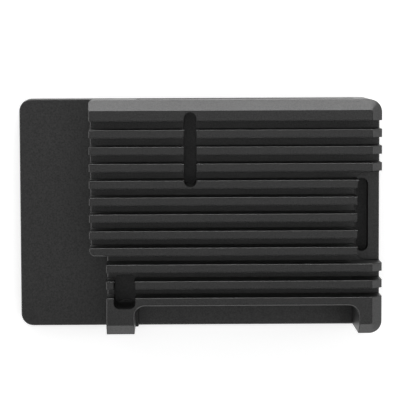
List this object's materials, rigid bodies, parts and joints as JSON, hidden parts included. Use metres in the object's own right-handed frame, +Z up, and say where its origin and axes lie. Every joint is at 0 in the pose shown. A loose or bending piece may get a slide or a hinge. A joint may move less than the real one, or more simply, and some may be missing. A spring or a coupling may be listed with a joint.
{
  "type": "single board computer heatsink case",
  "caption": "Finned aluminium heatsink shell screwed to a flat base plate, a passive cooling case that clamps a small single board computer and leaves its sockets open.",
  "frame": {"origin": "middle of the base plate's underside", "axes": "+X towards the card-slot end, +Y towards the power, video and audio sockets, +Z up through the fins"},
  "size_m": [0.0874, 0.056, 0.023],
  "materials": {
    "anodised_shell": "bead-blasted and black anodised, satin",
    "anodised_base": "bead-blasted and black anodised, satin",
    "black_steel": "black oxide",
    "thermal_pad": "soft matt silicone"
  },
  "bodies": {
    "root": {"heatsink_shell": "anodised_shell", "base_plate": "anodised_base", "case_screws": "black_steel", "processor_pad": "thermal_pad", "memory_pad": "thermal_pad", "usb_chip_pad": "thermal_pad", "base_pad": "thermal_pad"}
  },
  "joints": []
}
